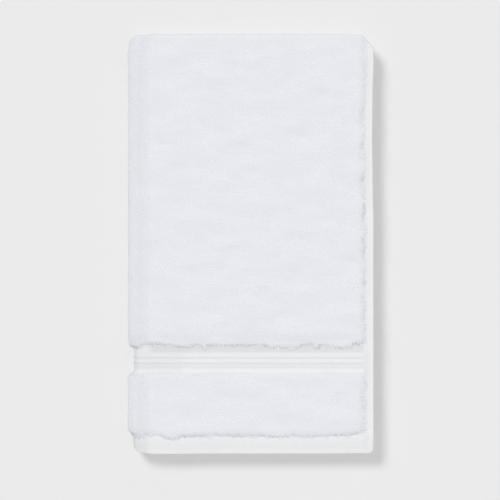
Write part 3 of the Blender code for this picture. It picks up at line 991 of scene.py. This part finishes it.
# Loops are this far apart on the top, on the underside, and between the layers, where they stand only
# this deep inside the open edges. The top and the underside meet past the side fold's line, and the top
# is laid in three patches that end this far from the hemmed edge
TOP_PITCH = 0.00124
UNDER_PITCH = 0.0026
INNER_PITCH = 0.0024
INNER_DEPTH = 0.0100
FOLD_TURN = 0.0130
LOWER_PATCH = 0.140
MIDDLE_PATCH = 0.250
RINGS = 2
BORDER_RINGS = 4
rng = np.random.default_rng(20)
half_a = 0.5 * CUT_WIDTH + SIDE_ARC
half_b = 0.5 * CUT_LENGTH + END_ARC
end_turn = END_FOLD_HALF * END_STRETCH
lower_end = half_b - LOWER_PATCH
middle_end = half_b - MIDDLE_PATCH
Patch = namedtuple("Patch", "name low high pitch")
PATCHES = (
    Patch("pile_top_lower", (-FOLD_TURN, lower_end), (half_a, half_b), TOP_PITCH),
    Patch("pile_top_middle", (-FOLD_TURN, middle_end), (half_a, lower_end), TOP_PITCH),
    Patch("pile_top_upper", (-FOLD_TURN, -end_turn), (half_a, middle_end), TOP_PITCH),
    Patch("pile_under", (-half_a, -end_turn), (-FOLD_TURN, half_b), UNDER_PITCH),
)

# Over the side fold the pile opens: this share of its loops is kept there, up to this far from its line,
# and all of them from the second distance on
SPARSE_FROM = 0.014
SPARSE_TO = 0.030
SPARSE_KEPT = 0.70
piles = []
for patch in PATCHES:
    a, b = scatter(rng, patch.low, patch.high, patch.pitch)
    open_pile = 1.0 - ease((np.abs(a) - SPARSE_FROM) / (SPARSE_TO - SPARSE_FROM))
    kept = rng.uniform(0.0, 1.0, len(a)) > (1.0 - SPARSE_KEPT) * open_pile
    a, b = a[kept], b[kept]
    loops = loop_arrays(rng, *outer_point(a, b), 1.0, RINGS)
    piles.append(add_piece(patch.name, terry, *joined([loops])))

inner = []
for face, sign in ((-1.0, 1.0), (-1.0, -1.0), (1.0, -1.0)):
    low = (-0.5 * CUT_WIDTH, 0.0) if sign > 0 else (-0.5 * CUT_WIDTH, -0.5 * CUT_LENGTH)
    high = (0.5 * CUT_WIDTH, 0.5 * CUT_LENGTH) if sign > 0 else (0.5 * CUT_WIDTH, 0.0)
    across, along = scatter(rng, low, high, INNER_PITCH)
    from_selvedge, from_hem = edges(across, along)
    near = np.minimum(from_selvedge - SELVEDGE_PILE_FOOT, from_hem - LOWER_PILE_FOOT) < INNER_DEPTH
    inner.append(loop_arrays(rng, across[near], along[near], face, RINGS))
piles.append(add_piece("pile_inside", terry, *joined(inner)))

# Loops along the panels' borders, set inside the foot by this and up to their jitter, leaning outwards
BORDER_PITCH = 0.0013
BORDER_INSIDE = 0.0003
BORDER_SLIP = 0.4
Border = namedtuple("Border", "foot start end heading jitter yarn")
BORDERS = (
    Border(main_foot, SELVEDGE_PILE_FOOT, 0.5 * CUT_WIDTH, (0.0, 1.0), 0.0014, BORDER_LOOP),
    Border(lower_foot, SELVEDGE_PILE_FOOT, 0.5 * CUT_WIDTH, (0.0, 1.0), 0.0015, BORDER_LOOP),
    Border(side_foot, MAIN_PILE_FOOT, FLAT_LENGTH, (1.0, 0.0), 0.0018, SIDE_LOOP),
    Border(side_foot, LOWER_PILE_FOOT, STRIP_LOOPS_END, (1.0, 0.0), 0.0018, SIDE_LOOP),
)
border = []
for line in BORDERS:
    for half in (1.0, -1.0):
        run = np.arange(line.start, line.end, BORDER_PITCH)
        run = run + rng.uniform(-BORDER_SLIP, BORDER_SLIP, len(run)) * BORDER_PITCH
        moved = rng.uniform(-BORDER_SLIP, 1.0, len(run)) * line.jitter
        inside = line.foot(run) + BORDER_INSIDE + moved
        if line.heading[1]:
            across, along = half * (0.5 * CUT_WIDTH - run), 0.5 * CUT_LENGTH - inside
        else:
            across, along = half * (0.5 * CUT_WIDTH - inside), 0.5 * CUT_LENGTH - run
        outwards = (line.heading[0] * half, line.heading[1])
        border.append(loop_arrays(rng, across, along, 1.0, BORDER_RINGS, line.yarn, outwards))
piles.append(add_piece("pile_borders", terry, *joined(border)))

for made in [cloth, *piles]:
    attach(made, "root")
    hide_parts("hand_towel")

# ---------------------------------------------------------------- surface, light and camera

FLOOR_HALF = 60.0
FLOOR_GAP = 0.0001
floor_corners = FLOOR_HALF * np.array([[-1, -1], [1, -1], [1, 1], [-1, 1]])
floor_points = np.column_stack([floor_corners, np.full(4, box_low[2] - FLOOR_GAP)])
floor = add_piece("floor", plain_floor(), floor_points, np.array([[0, 1, 2, 3]]))
floor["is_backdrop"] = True

KEY_SHARE = 0.313
OVERHEAD_SHARE = 0.320
AROUND_SHARE = 0.363
FILL_GRADIENT = 0.6
BRIGHTNESS = 1.04


def add_sun(name, towards, share, angle):
    """A sun whose light on a level surface is that share of the whole; towards points to the sun."""
    light = bpy.data.lights.new(name, "SUN")
    towards = np.array(towards) / np.linalg.norm(towards)
    light.energy = BRIGHTNESS * share * np.pi / towards[2]
    light.angle = np.radians(angle)
    sun = bpy.data.objects.new(name, light)
    tilt = np.arccos(towards[2])
    sun.rotation_euler = (tilt, 0.0, np.arctan2(towards[1], towards[0]) + 0.5 * np.pi)
    bpy.context.scene.collection.objects.link(sun)


add_sun("key_light", (-0.44, 0.53, 0.81), KEY_SHARE, 20.0)
add_sun("overhead_light", (0.0, 0.001, 1.0), OVERHEAD_SHARE, 6.0)
world = bpy.data.worlds.new("studio")
world.use_nodes = True
sky = add_node(world.node_tree, "TexCoord", output="Generated")
tilt = np.array((0.84, -0.54, 0.0)) * FILL_GRADIENT
side = add_node(world.node_tree, "VectorMath", {"operation": "DOT_PRODUCT"}, {0: sky, 1: tilt}, "Value")
strength = (1.0 + side) * (BRIGHTNESS * AROUND_SHARE)
background = world.node_tree.nodes["Background"]
feed(world.node_tree, background, {"Color": (1.0, 1.0, 1.0, 1.0), "Strength": strength})
bpy.context.scene.world = world

camera = bpy.data.objects.new("camera", bpy.data.cameras.new("camera"))
camera.data.lens = 171.2
camera.data.sensor_width = 36.0
camera.data.clip_start = 0.1
camera.data.clip_end = 20.0
camera.location = (-0.0004, -0.005, 2.0)
bpy.context.scene.collection.objects.link(camera)
bpy.context.scene.camera = camera
bpy.context.scene.view_settings.view_transform = "Standard"

low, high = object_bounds()
